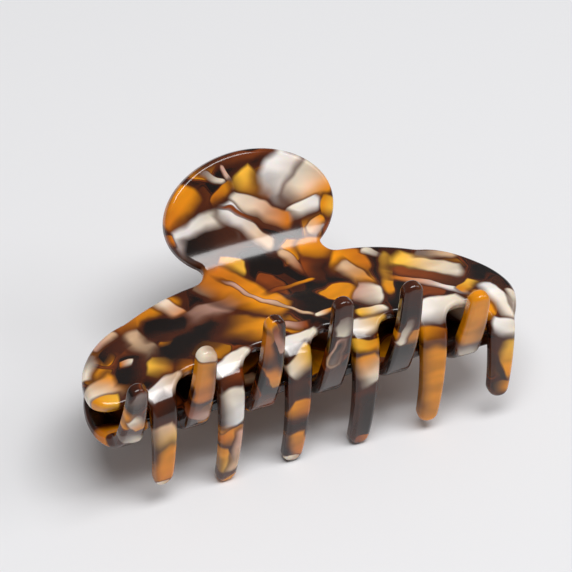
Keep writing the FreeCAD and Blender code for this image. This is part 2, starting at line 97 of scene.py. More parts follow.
NECK_CENTRE = np.array([0, NECK_HEIGHT + NECK_RADIUS])
RISE_FOOT = NECK_CENTRE - NECK_RADIUS * facing(-RISE_ANGLE)
BEND_CENTRE = RISE_FOOT + RISE_LENGTH * heading(-RISE_ANGLE) - BEND_RADIUS * facing(-RISE_ANGLE)
TOOTH_CENTRE = BEND_CENTRE + (BEND_RADIUS - TOOTH_CURVE) * facing(BEND_ANGLE)


def section(station, depth):
    """The point of the middle section at a station and a depth below the outer face, and its angle."""
    if station < TAB_START:
        edge = NECK_CENTRE - (NECK_RADIUS + depth) * facing(TAB_ANGLE)
        return edge + (station - TAB_START) * heading(TAB_ANGLE), TAB_ANGLE
    if station < RISE_START:
        angle = -station / NECK_RADIUS
        return NECK_CENTRE - (NECK_RADIUS + depth) * facing(angle), angle
    if station < BEND_START:
        along = (station - RISE_START) * heading(-RISE_ANGLE)
        return RISE_FOOT + along - depth * facing(-RISE_ANGLE), -RISE_ANGLE
    if station < TOOTH_START:
        angle = (station - BEND_START) / BEND_RADIUS - RISE_ANGLE
        return BEND_CENTRE + (BEND_RADIUS - depth) * facing(angle), angle
    angle = (station - TOOTH_START) / TOOTH_CURVE + BEND_ANGLE
    return TOOTH_CENTRE + (TOOTH_CURVE - depth) * facing(angle), angle


def place(x, station, depth):
    """A point of a jaw, its outward direction, and its directions towards the teeth and along x."""
    (y, z), angle = section(station, depth)
    up_tab = -heading(TAB_ANGLE)
    radius = CROWN_RADIUS + y * up_tab[0] + z * up_tab[1]
    turn = math.asin(x / radius)
    drop = radius * (1 - math.cos(turn))
    point = Vector((x, y - drop * up_tab[0], z - drop * up_tab[1]))
    crown_axis = Vector((0, *facing(TAB_ANGLE)))
    curl = Matrix.Rotation(-turn, 3, crown_axis)
    outward = curl @ Vector((0, *facing(buffed(station, angle) if depth == 0 else angle)))
    toothward = curl @ Vector((0, *heading(angle)))
    return point, outward, toothward, curl @ Vector((1, 0, 0))


# --- The outline of the sheet, in (x, station) --------------------------------------------------------------
TAB_HALF_WIDTH = 22.6
TAB_HALF_HEIGHT = 15.1
TAB_CENTRE = -20.3
TAB_STEPS = 130
NECK_HALF_WIDTH = 15.8
NECK_CORNER = (19.3, -6.15)
NECK_BOW = (0.9, 0.5)
BACK_BOW = (29, -5.2)
TOOTHED_END = 56.4
LOBED_END = 57.3
SHOULDER_INSET = 17.4
SHOULDER_STATION = -2.6
CORNER_INSET = 5.2
CORNER_STATION = 2.6
END_STATION = 15.1
LOBE_CORNER_INSET = 1.9
LOBE_CORNER_STATION = 20.6
LOBE_EDGE_INSET = 7.2
LOBE_FILLET = (2.6, 0.8, 1)
LAST_FLANK_INSET = 2.1
LAST_FLANK_STATION = 20.5
FIRST_TOOTH_PITCHES = 2.25
TOOTH_PITCH = 18
TOOTH_LENGTHS = (52.3, 61.55, 62.1, 61.9, 57.5, 50.8)
TOOTH_ROOT = 25.8
GAP_ROOT = 22.8
GAP_ARCH = 20.3
ROOT_HALF_WIDTH = 3.6
TIP_HALF_WIDTH = 2.65
OUTLINE_STEP = 0.6
SMOOTHING_PASSES = 3


def tooth_x(i):
    return (i - FIRST_TOOTH_PITCHES) * TOOTH_PITCH


def straight(p, q):
    """Points from p up to, but not including, q."""
    p, q = np.array(p, float), np.array(q, float)
    steps = max(1, round(np.linalg.norm(q - p) / OUTLINE_STEP))
    return [tuple(p + (q - p) * i / steps) for i in range(steps)]


def arc(p, middle, q):
    """Points along the arc from p through middle, up to, but not including, q."""
    (ax, ay), (bx, by), (cx, cy) = p, middle, q
    d = 2 * (ax * (by - cy) + bx * (cy - ay) + cx * (ay - by))
    a2, b2, c2 = ax * ax + ay * ay, bx * bx + by * by, cx * cx + cy * cy
    ox = (a2 * (by - cy) + b2 * (cy - ay) + c2 * (ay - by)) / d
    oy = (a2 * (cx - bx) + b2 * (ax - cx) + c2 * (bx - ax)) / d
    start = math.atan2(ay - oy, ax - ox)
    past_middle = (math.atan2(by - oy, bx - ox) - start) % math.tau
    sweep = (math.atan2(cy - oy, cx - ox) - start) % math.tau
    if past_middle > sweep:
        sweep -= math.tau
    radius = math.hypot(ax - ox, ay - oy)
    steps = max(2, round(abs(sweep) * radius / OUTLINE_STEP))
    angles = [start + sweep * i / steps for i in range(steps)]
    return [(ox + radius * math.cos(a), oy + radius * math.sin(a)) for a in angles]


def oval():
    """The tab's edge, from the right of the neck over the top to the left."""
    low = math.acos(NECK_HALF_WIDTH / TAB_HALF_WIDTH)
    angles = [low - (math.pi + 2 * low) * i / TAB_STEPS for i in range(TAB_STEPS)]
    return [(TAB_HALF_WIDTH * math.cos(a), TAB_CENTRE + TAB_HALF_HEIGHT * math.sin(a)) for a in angles]


def neck_fillet(side):
    """The hollow corner between the tab and the crown, from the tab down to the crown."""
    low = math.acos(NECK_HALF_WIDTH / TAB_HALF_WIDTH)
    waist = (side * NECK_HALF_WIDTH, TAB_CENTRE + TAB_HALF_HEIGHT * math.sin(low))
    bow = (side * (NECK_HALF_WIDTH + NECK_BOW[0]), (waist[1] + NECK_CORNER[1]) / 2 + NECK_BOW[1])
    return arc(waist, bow, (side * NECK_CORNER[0], NECK_CORNER[1]))


def shoulder(side, end):
    """The crown's edge from the neck to its end."""
    outer = (side * (end - SHOULDER_INSET), SHOULDER_STATION)
    corner = (side * (end - CORNER_INSET), CORNER_STATION)
    inner = arc((side * NECK_CORNER[0], NECK_CORNER[1]), (side * BACK_BOW[0], BACK_BOW[1]), outer)
    return inner + arc(outer, corner, (side * end, END_STATION))


def tooth(i):
    """One tooth's edge, down its left side, round the tip and up its right side."""
    x, tip = tooth_x(i), TOOTH_LENGTHS[i]
    low = tip - TIP_HALF_WIDTH
    left, right = (x - TIP_HALF_WIDTH, low), (x + TIP_HALF_WIDTH, low)
    down = straight((x - ROOT_HALF_WIDTH, TOOTH_ROOT), left)
    return down + arc(left, (x, tip), right) + straight(right, (x + ROOT_HALF_WIDTH, TOOTH_ROOT))


def lobe_edge():
    """The edge round the lobe, from the end of the crown to the first tooth."""
    side = (-LOBED_END, END_STATION)
    corner = (-LOBED_END + LOBE_CORNER_INSET, LOBE_CORNER_STATION)
    below = (-LOBED_END + LOBE_EDGE_INSET, GAP_ROOT)
    root = (tooth_x(0) - ROOT_HALF_WIDTH, TOOTH_ROOT)
    before, bow_inset, bow_drop = LOBE_FILLET
    foot = (root[0] - before, GAP_ROOT)
    bow = (root[0] - bow_inset, GAP_ROOT + bow_drop)
    return arc(side, corner, below) + straight(below, foot) + arc(foot, bow, root)


def outline():
    """The whole edge of the sheet, once round, as an array of (x, station)."""
    last = tooth_x(5) + ROOT_HALF_WIDTH
    edge = oval() + neck_fillet(-1) + shoulder(-1, LOBED_END) + lobe_edge()
    for i in range(len(TOOTH_LENGTHS)):
        edge += tooth(i)
        if i + 1 < len(TOOTH_LENGTHS):
            middle = (tooth_x(i) + tooth_x(i + 1)) / 2
            edge += arc((tooth_x(i) + ROOT_HALF_WIDTH, TOOTH_ROOT), (middle, GAP_ARCH),
                        (tooth_x(i + 1) - ROOT_HALF_WIDTH, TOOTH_ROOT))
    flank = (last + LAST_FLANK_INSET, LAST_FLANK_STATION)
    edge += arc((last, TOOTH_ROOT), flank, (TOOTHED_END, END_STATION))
    edge += shoulder(1, TOOTHED_END)[:0:-1]
    edge += neck_fillet(1)[::-1]
    edge = np.array(edge)
    for _ in range(SMOOTHING_PASSES):
        edge = (np.roll(edge, 1, 0) + 2 * edge + np.roll(edge, -1, 0)) / 4
    return edge


def outward_of(edge):
    """The direction out of the sheet at each point of its outline."""
    run = np.roll(edge, -1, 0) - np.roll(edge, 1, 0)
    out = np.stack([-run[:, 1], run[:, 0]], 1)
    return out / np.linalg.norm(out, axis=1, keepdims=True)


# --- The jaws' mesh -----------------------------------------------------------------------------------------
EDGE_RADIUS = 1.3
EDGE_STEPS = 5
GRID_X = 1.5
GRID_STATION = 1.0


def rim_profile():
    """(inset, depth, lean) of each ring of the polished edge, from the outer face round to the inner one."""
    profile = []
    for i in range(EDGE_STEPS + 1):
        lean = math.pi / 2 * i / EDGE_STEPS
        profile.append((EDGE_RADIUS * (1 - math.sin(lean)), EDGE_RADIUS * (1 - math.cos(lean)), lean))
    under = [(inset, THICKNESS - depth, math.pi - lean) for inset, depth, lean in reversed(profile)]
    return profile + under


def inside(points, edge):
    """Which points lie in a closed outline, and at least half a grid step in from it."""
    within = np.zeros(len(points), bool)
    for (x0, y0), (x1, y1) in zip(edge, np.roll(edge, -1, 0)):
        if y0 == y1:
            continue
        crosses = (points[:, 1] < y0) != (points[:, 1] < y1)
        at = x0 + (points[:, 1] - y0) / (y1 - y0) * (x1 - x0)
        within ^= crosses & (points[:, 0] < at)
    gap = np.array([np.min(np.hypot(*(edge - p).T)) for p in points])
    return within & (gap > GRID_STATION / 2)


def face_mesh(edge):
    """Points and triangles that fill a closed outline; the first points are the outline's own."""
    xs = np.arange(-LOBED_END, LOBED_END, GRID_X)
    stations = np.arange(TAB_CENTRE - TAB_HALF_HEIGHT, max(TOOTH_LENGTHS), GRID_STATION)
    grid = np.array([(x, s) for s in stations for x in xs])
    grid = grid[inside(grid, edge)]
    points = [Vector(p) for p in np.vstack([edge, grid])]
    rim = list(range(len(edge)))
    filled = delaunay_2d_cdt(points, [], [rim], 1, 1e-5)
    assert len(filled[0]) == len(points), "the outline crosses itself"
    return np.array([tuple(p) for p in filled[0]]), filled[2]


# The buffed shoulder above the teeth: (station, degrees that its face leans towards the teeth).
BUFFED = ((17.03, -12), (19.4, 13), (24.8, 25), (29.93, 75))


def buffed(station, angle):
    """The outer face's lean as it is shaded: nearly flat in a band where the crown turns into the teeth."""
    stations, leans = zip(*BUFFED)
    if stations[0] < station < stations[-1]:
        return math.radians(np.interp(station, stations, leans))
    return angle


def jaw_mesh(name, flip):
    """A jaw in the row frame. flip turns it half round for the lower jaw."""
    edge = outline()
    out = outward_of(edge)
    rings = rim_profile()
    flat, triangles = face_mesh(edge - out * EDGE_RADIUS)
    count = len(edge)
    spots = []
    for inset, depth, lean in rings:
        for (x, s), (out_x, out_s) in zip(edge - out * inset, out):
            spots.append((x, s, depth, lean, out_x, out_s))
    outer = len(spots)
    spots += [(x, s, 0, 0, 0, 0) for x, s in flat[count:]]
    inner = len(spots)
    spots += [(x, s, THICKNESS, math.pi, 0, 0) for x, s in flat[count:]]

    faces = []
    for ring in range(len(rings) - 1):
        for i in range(count):
            j = (i + 1) % count
            a, b = ring * count + i, ring * count + j
            faces.append((a, b, b + count, a + count))
    last_ring = (len(rings) - 1) * count
    for triangle in triangles:
        top = [v if v < count else outer + v - count for v in triangle]
        under = [last_ring + v if v < count else inner + v - count for v in triangle]
        faces.append(tuple(top))
        faces.append(tuple(reversed(under)))

    turn = Matrix.Rotation(math.pi, 3, "Y") if flip else Matrix.Identity(3)
    lie = Matrix.Rotation(REST_TILT, 3, "X") @ turn
    vertices, normals, sheet = [], [], []
    for x, s, depth, lean, out_x, out_s in spots:
        point, outward, toothward, across = place(x, s, depth)
        normal = outward * math.cos(lean) + (across * out_x + toothward * out_s) * math.sin(lean)
        vertices.append(HINGE + lie @ point * MM)
        normals.append(lie @ normal)
        sheet.append((x, s, depth))
    mesh = bpy.data.meshes.new(name)
    mesh.from_pydata(vertices, [], faces)
    first = mesh.polygons[count * (len(rings) - 1)]
    if first.normal.dot(normals[first.vertices[0]]) < 0:
        mesh.flip_normals()
    mesh.shade_smooth()
    mesh.normals_split_custom_set_from_vertices(normals)
    attribute = mesh.attributes.new("sheet", "FLOAT_VECTOR", "POINT")
    attribute.data.foreach_set("vector", [c for spot in sheet for c in spot])
    obj = bpy.data.objects.new(name, mesh)
    bpy.context.collection.objects.link(obj)
    return obj


# --- The torsion spring -------------------------------------------------------------------------------------
WIRE_RADIUS = 0.6
COIL_RADIUS = 2.4
COIL_PITCH = 1.3
COIL_TURNS = 6.5
COIL_STEPS = 24
WIRE_SIDES = 12
ELBOW_Y = 5.5
LEG_END = (12.2, 6.05)


def spring_leg(side):
    """A leg's points, from the coil out to its end. side is -1 for the lower leg, under the coil."""
    climb = COIL_PITCH / (math.tau * COIL_RADIUS)
    run = [(ELBOW_Y - 3, COIL_RADIUS), (ELBOW_Y, COIL_RADIUS)]
    run += [(ELBOW_Y + 1, COIL_RADIUS + 0.15), (ELBOW_Y + 2, COIL_RADIUS + 0.7), LEG_END]
    return [(-side * (COIL_PITCH * COIL_TURNS / 2 + climb * y), y, side * z) for y, z in run]


def spring_path():
    """The middle of the wire: in along the lower leg, round the coil and out along the upper leg."""
    coil = []
    steps = round(COIL_TURNS * COIL_STEPS)
    for i in range(steps + 1):
        turned = math.tau * i / COIL_STEPS
        x = COIL_PITCH * (COIL_TURNS / 2 - i / COIL_STEPS)
        coil.append((x, -COIL_RADIUS * math.sin(turned), -COIL_RADIUS * math.cos(turned)))
    return [Vector(p) for p in spring_leg(-1)[::-1] + coil + spring_leg(1)]


def spring_mesh(name):
    """Round wire along the spring's path, with flat cut ends."""
    path = spring_path()
    lie = Matrix.Rotation(REST_TILT, 3, "X")
    vertices, faces = [], []
    side = Vector((1, 0, 0))
    for i, point in enumerate(path):
        ahead = (path[min(i + 1, len(path) - 1)] - path[max(i - 1, 0)]).normalized()
        side = (side - ahead * side.dot(ahead)).normalized()
        up = ahead.cross(side)
        for j in range(WIRE_SIDES):
            a = math.tau * j / WIRE_SIDES
            spot = point + (side * math.cos(a) + up * math.sin(a)) * WIRE_RADIUS
            vertices.append(HINGE + lie @ spot * MM)
    for i in range(len(path) - 1):
        for j in range(WIRE_SIDES):
            k = (j + 1) % WIRE_SIDES
            here, following = i * WIRE_SIDES, (i + 1) * WIRE_SIDES
            faces.append((here + j, here + k, following + k, following + j))
    faces.append(tuple(reversed(range(WIRE_SIDES))))
    faces.append(tuple(range(len(vertices) - WIRE_SIDES, len(vertices))))
    mesh = bpy.data.meshes.new(name)
    mesh.from_pydata(vertices, [], faces)
    mesh.shade_smooth()
    for cap in mesh.polygons[-2:]:
        cap.use_smooth = False
    obj = bpy.data.objects.new(name, mesh)
    bpy.context.collection.objects.link(obj)
    return obj


# --- Materials ----------------------------------------------------------------------------------------------
def srgb(red, green, blue):
    """A screen colour, 0 to 255, as the linear colour that a shader takes."""
    def linear(c):
        c = c / 255
        return c / 12.92 if c <= 0.04045 else ((c + 0.055) / 1.055) ** 2.4
    return (linear(red), linear(green), linear(blue), 1)


BLACK = srgb(20, 9, 6)
BROWN = srgb(70, 32, 14)
BURNT = srgb(74, 29, 8)
RUST = srgb(140, 64, 16)
ORANGE = srgb(206, 116, 18)
AMBER = srgb(230, 144, 10)
GOLD = srgb(246, 186, 60)
CREAM = srgb(240, 226, 205)
WHITE = srgb(245, 240, 236)
BEIGE = srgb(214, 176, 140)
PINK = srgb(206, 160, 140)
GREY = srgb(128, 108, 98)
SMOKE = srgb(44, 28, 22)


def node(tree, kind, values=None, **settings):
    """A shader node with its settings, and its inputs given as values or as the outputs that feed them."""
    made = tree.nodes.new(kind)
    for name, value in settings.items():
        setattr(made, name, value)
    for name, value in (values or {}).items():
        if isinstance(value, bpy.types.NodeSocket):
            tree.links.new(value, made.inputs[name])
        else:
            made.inputs[name].default_value = value
    return made


def smooth_step(tree, value, low, high):
    """0 below low and 1 above high, or the other way round when low is above high."""
    made = node(tree, "ShaderNodeMapRange", {0: value, 1: low, 2: high}, interpolation_type="SMOOTHSTEP")
    return made.outputs[0]


def mix_colours(tree, factor, a, b, mode="MIX"):
    made = node(tree, "ShaderNodeMix", {"Factor": factor, 6: a, 7: b}, data_type="RGBA", blend_type=mode)
    return made.outputs[2]


# A chip in its own half sizes: how square it is, and where its halo, its body and its thin side fade.
SQUARENESS = 0.6
HALO_FADE = (1.35, 0.95)
HALO_DEPTH = 0.75
BODY_FADE = (1.03, 0.8)
THIN_FADE = (1.05, -0.1)


def chip_group():
    """One chip of coloured acetate over a ground: a rounded slab that thins to one side, in a burnt halo."""
    tree = bpy.data.node_groups.new("chip", "ShaderNodeTree")
    face = tree.interface
    face.new_socket("Place", in_out="INPUT", socket_type="NodeSocketVector")
    face.new_socket("Ground", in_out="INPUT", socket_type="NodeSocketColor")
    face.new_socket("Near", in_out="INPUT", socket_type="NodeSocketColor")
    face.new_socket("Far", in_out="INPUT", socket_type="NodeSocketColor")
    face.new_socket("Centre", in_out="INPUT", socket_type="NodeSocketVector")
    face.new_socket("Turn", in_out="INPUT", socket_type="NodeSocketVector")
    face.new_socket("Size", in_out="INPUT", socket_type="NodeSocketVector")
    face.new_socket("Result", in_out="OUTPUT", socket_type="NodeSocketColor")
    given = node(tree, "NodeGroupInput").outputs
    local = node(tree, "ShaderNodeMapping", {
        "Vector": given["Place"], "Location": given["Centre"],
        "Rotation": given["Turn"], "Scale": given["Size"],
    }, vector_type="TEXTURE").outputs[0]
    flat = node(tree, "ShaderNodeVectorMath", {0: local, 1: (1, 1, 0)}, operation="MULTIPLY").outputs[0]
    around = node(tree, "ShaderNodeVectorMath", {0: flat}, operation="LENGTH").outputs["Value"]
    size = node(tree, "ShaderNodeVectorMath", {0: flat}, operation="ABSOLUTE").outputs[0]
    parts = node(tree, "ShaderNodeSeparateXYZ", {0: size}).outputs
    squarish = node(tree, "ShaderNodeMath", {0: parts[0], 1: parts[1]}, operation="MAXIMUM").outputs[0]
    reach = node(tree, "ShaderNodeMix", {"Factor": SQUARENESS, "A": around, "B": squarish}).outputs[0]
    halo = smooth_step(tree, reach, *HALO_FADE)
    body = smooth_step(tree, reach, *BODY_FADE)
    spot = node(tree, "ShaderNodeSeparateXYZ", {0: local}).outputs
    shade = smooth_step(tree, spot[0], -0.9, 0.9)
    fill = mix_colours(tree, shade, given["Near"], given["Far"])
    thin = smooth_step(tree, spot[1], *THIN_FADE)
    cover = node(tree, "ShaderNodeMath", {0: body, 1: thin}, operation="MULTIPLY").outputs[0]
    halo_depth = node(tree, "ShaderNodeMath", {0: halo, 1: HALO_DEPTH}, operation="MULTIPLY").outputs[0]
    glowing = mix_colours(tree, halo_depth, given["Ground"], BURNT)
    result = mix_colours(tree, cover, glowing, fill)
    node(tree, "NodeGroupOutput", {0: result})
    return tree


CHIP = chip_group()

# Each chip: x, station, half length, half width, degrees turned towards the teeth, colours of its two ends.
UPPER_CHIPS_AND_HIGHLIGHTS = [
    # the thumb tab
    (0, -33.6, 12, 1.6, 0, BROWN, RUST),
    (-17.5, -25, 6, 4, -42, ORANGE, AMBER),
    (-8, -30.5, 4, 1.0, 30, GREY, CREAM),
    (-4, -29.5, 3.5, 0.7, 75, PINK, CREAM),
    (-6, -26, 4, 1.8, -35, ORANGE, AMBER),
    (1.5, -26, 5.5, 4.2, 60, GOLD, ORANGE),
    (12.5, -24.5, 9, 8, 38, WHITE, BEIGE),
    (16.5, -23, 5.5, 7, 50, CREAM, AMBER),
    (14, -17.6, 6, 2.2, -15, CREAM, WHITE),
    (20.5, -17, 2, 3.5, 20, AMBER, GOLD),
    (-12.5, -17, 8.5, 6.2, -12, WHITE, CREAM),
    (-12, -14.5, 7.4, 4.6, -4, BLACK, BROWN),
    (2.5, -19.5, 9.5, 3, 32, CREAM, ORANGE),
    (-2.5, -16.5, 9, 2.6, 52, WHITE, BEIGE),
    (-1, -18.5, 8.5, 0.6, 36, RUST, BROWN),
    (16, -13, 3.2, 1.6, -30, BEIGE, AMBER),
    (-21.6, -18, 1.4, 2, 0, RUST, ORANGE),
    # the neck
    (-16, -5.5, 4.6, 3.6, -55, BEIGE, ORANGE),
    (-9, -7.5, 4, 2.8, 30, AMBER, GOLD),
    (6.5, -5, 5, 1.4, 60, BEIGE, RUST),
    (11, -2.5, 2.5, 5, 10, RUST, BROWN),
    (16, -7, 7, 3.4, 8, AMBER, ORANGE),
    (20.5, -1.5, 5.5, 5, 20, AMBER, ORANGE),
    (27.5, -3, 3, 1.2, 35, CREAM, GREY),
    # the crown, from the lobe to the toothed end
    (-37, -1.5, 13, 3.2, -10, RUST, AMBER),
    (-46.5, 0.3, 3.6, 1.8, -20, PINK, BEIGE),
    (-28, -1.5, 6, 2.4, 62, CREAM, ORANGE),
    (-39, 8.5, 9, 3.6, 78, BEIGE, SMOKE),
    (-53.3, 6, 4.6, 2.4, -60, CREAM, GREY),
    (-52.6, 16.5, 6, 5.4, -25, CREAM, AMBER),
    (-54.5, 20.5, 4, 2.6, 10, AMBER, GOLD),
    (-37.5, 17.5, 4.4, 4.6, 40, GOLD, RUST),
    (-33, 19.5, 3.6, 2.4, 120, ORANGE, AMBER),
    (-21, 4, 11, 3.6, -8, BURNT, PINK),
    (-27, 12.5, 10, 5.4, -14, BLACK, BLACK),
    (-45, 13.5, 5.4, 3.8, -60, BLACK, BLACK),
    (-31, 4, 5.8, 3.6, 10, BLACK, BLACK),
    (-46, 4.5, 4.4, 2.2, -20, BLACK, BURNT),
    (-45, 11, 1.8, 1.2, 20, ORANGE, CREAM),
    (-14.5, 13, 6.4, 5.6, 34, BURNT, AMBER),
    # These five chips across the tooth roots are painted highlight: white patches where the key light's
    # reflection lies on the bend into the teeth, fading into beige, cream and gold.
    (-39, 23.4, 6, 2.8, -12, WHITE, BEIGE),
    (-21.5, 22.8, 6, 2.4, -10, WHITE, CREAM),
    (-3, 22.4, 6.2, 2.8, -12, WHITE, CREAM),
    (15, 22.4, 6.2, 2.4, -10, WHITE, GOLD),
    (34, 21.6, 8.4, 3.8, -8, WHITE, CREAM),
    (-9.5, 1.5, 13, 5.4, 52, ORANGE, AMBER),
    (-4.5, 5.5, 13.5, 0.7, 52, PINK, BEIGE),
    (3.5, 2.2, 6.5, 0.8, -4, RUST, AMBER),
    (19.5, 3.5, 6, 3, 68, BEIGE, AMBER),
    (19.5, 12, 3.4, 5.4, 30, PINK, CREAM),
    (27.5, 5, 9, 1.7, 112, GOLD, AMBER),
    (38.5, 4.5, 9.5, 4.6, 30, GOLD, CREAM),
    (37.5, 9, 10.5, 2.6, 36, RUST, BROWN),
    (36, 12.2, 10.5, 1.5, 36, ORANGE, WHITE),
    (45, 15, 3.6, 2, -40, AMBER, GOLD),
    (42.5, 0.3, 5.5, 1.4, 12, GREY, BEIGE),
    (50.5, 20, 6.5, 3, 70, WHITE, CREAM),
    (54.5, 21, 4, 1.6, 100, CREAM, GREY),
    (17.5, 18.5, 4.5, 1.6, -10, GOLD, CREAM),
    (-2.5, 17, 3.4, 1.6, 20, PINK, RUST),
    (6, 15.6, 2.8, 1, -10, CREAM, AMBER),
    # the teeth
    (-41, 29, 4.4, 3.6, 60, BURNT, SMOKE),
    (-41, 36.5, 5, 3.8, 75, BEIGE, GOLD),
    (-40.5, 46, 8, 4, 90, AMBER, ORANGE),
    (-40.5, 51, 2, 1.6, 0, CREAM, BEIGE),
    (-22.5, 26.5, 4.6, 2, 0, BROWN, RUST),
    (-22.5, 34, 6, 4, 80, CREAM, WHITE),
    (-22.5, 43, 4, 2.4, -25, ORANGE, AMBER),
    (-24, 51.5, 5.5, 2, 75, AMBER, GOLD),
    (-21, 49.5, 8, 2, 95, PINK, BEIGE),
    (-4, 28, 4.5, 3, -40, CREAM, GOLD),
    (-5, 36, 3.6, 3.6, 60, BROWN, SMOKE),
    (-4.5, 42, 3, 4, 20, AMBER, ORANGE),
    (-4, 54.5, 5.5, 2.8, 80, AMBER, ORANGE),
    (-5.5, 60, 2, 1.6, 20, CREAM, BEIGE),
    (13.5, 28, 4.4, 2.4, 10, GOLD, AMBER),
    (13.5, 35, 5.2, 4, 70, AMBER, CREAM),
    (13.5, 50.5, 9.5, 4, 90, SMOKE, BLACK),
    (13.5, 59.5, 2.4, 2.2, 0, RUST, ORANGE),
    (31.5, 28.5, 5.2, 3, 20, AMBER, RUST),
    (31.5, 45, 15, 5, 90, AMBER, AMBER),
    (50, 28, 4, 3, 20, WHITE, CREAM),
    (50.5, 37, 6.5, 3.4, 100, GOLD, AMBER),
    (47.8, 40, 6, 1.4, 70, BROWN, SMOKE),
    (49.5, 47, 3, 3, 0, SMOKE, AMBER),
]

LOWER_CHIPS = [
    # the thumb tab and the crown, mostly out of sight under the upper jaw
    (-10, -26, 9, 5, 30, AMBER, CREAM),
    (9, -24, 8, 6, -40, WHITE, ORANGE),
    (2, -14, 10, 3, -20, BEIGE, RUST),
    (-14, -17, 5, 3, 70, ORANGE, GOLD),
    (-30, 4, 12, 3, 25, AMBER, ORANGE),
    (-44, 10, 7, 3, -50, CREAM, BEIGE),
    (-12, 8, 10, 3.6, -35, ORANGE, PINK),
    (8, 2, 9, 4, 50, GOLD, RUST),
    (26, 8, 11, 3.4, -28, AMBER, CREAM),
    (42, 4, 8, 3.6, 40, CREAM, GREY),
    (48, 14, 6, 3, -20, ORANGE, AMBER),
    (-52, 17, 5, 3.4, 60, ORANGE, AMBER),
    (16, 16, 6, 2, 10, BEIGE, AMBER),
    (51, 14, 7, 5, 80, SMOKE, BLACK),
    (53, 20.5, 5, 2.6, 160, ORANGE, AMBER),
    # the teeth
    (-40.5, 32, 4, 3, 70, CREAM, GREY),
    (-40.5, 46, 13, 5, 90, AMBER, AMBER),
    (-22.5, 34, 8, 4, 90, SMOKE, BLACK),
    (-22.5, 57, 9, 4.6, 90, BLACK, BURNT),
    (-4.5, 59, 6, 4.6, 90, BLACK, BURNT),
    (-21.5, 46, 5, 1.6, 100, CREAM, GREY),
    (-4.5, 32, 6, 3.4, 80, SMOKE, BROWN),
    (-3.6, 45, 6, 1.9, 95, BEIGE, PINK),
    (-3.6, 45, 4.4, 1.0, 95, GREY, SMOKE),
    (-4.5, 54, 3.4, 2.6, 100, CREAM, GREY),
    (13.5, 31, 4, 3.4, 20, RUST, BROWN),
    (12.5, 43, 6, 2.4, 65, AMBER, ORANGE),
    (15, 52, 6.5, 1.8, 80, BROWN, ORANGE),
    (12, 55.5, 5, 1.4, 75, PINK, RUST),
    (31.5, 35, 4.4, 3, 40, PINK, RUST),
    (31.5, 47, 8, 3.8, 90, ORANGE, AMBER),
    (31.5, 56, 2.6, 2.4, 0, BEIGE, CREAM),
    (49.5, 31, 4, 2.4, 30, CREAM, GREY),
    (49, 38, 3.6, 2.6, 60, AMBER, CREAM),
    (49.5, 46, 4.4, 2.6, 100, SMOKE, GREY),
]


# A shader holds only some two dozen chips, so each jaw is painted in regions that share one pattern.
TAB_XS = (-60, 0, 60)
BODY_XS = (-60, -31.5, -13.5, 4.5, 22.5, 60)
REGIONS = [
    (left, right, top, foot)
    for top, foot, cuts in ((-40, -8, TAB_XS), (-8, 20, BODY_XS), (20, 70, BODY_XS))
    for left, right in zip(cuts, cuts[1:])
]
MOST_CHIPS = 26
HALO_REACH = 1.3
WARP_REACH = 2.5

# The random ground between the chips, and the waviness of the whole pattern: noise scales are per millimetre.
GROUND = [(0, BLACK), (0.42, BLACK), (0.5, BURNT), (0.56, BLACK), (0.72, RUST), (0.78, BLACK), (0.9, AMBER)]
GROUND_SCALE = 0.13
SWIRL_SCALE = 0.13
SWIRL = 4.0
FRAY_SCALE = 0.28
FRAY = 0.7
# The cloudy streaks that darken and lighten it all.
STREAK_TURN = 0.6
STREAK_SCALE = (0.08, 0.22, 0.1)
DARKEST = 0.78
LIGHTEST = 1.15


def chips_near(region, chips):
    """The chips that reach into a region, with the halo round them and the pattern's own waviness."""
    left, right, top, foot = region
    near = []
    for chip in chips:
        x, station, half_length, half_width = chip[:4]
        lean = math.radians(chip[4])
        across = abs(half_length * math.cos(lean)) + abs(half_width * math.sin(lean))
        down = abs(half_length * math.sin(lean)) + abs(half_width * math.cos(lean))
        across = HALO_REACH * across + WARP_REACH
        down = HALO_REACH * down + WARP_REACH
        if left - across < x < right + across and top - down < station < foot + down:
            near.append(chip)
    assert len(near) <= MOST_CHIPS, f"{len(near)} chips in region {region}"
    return near


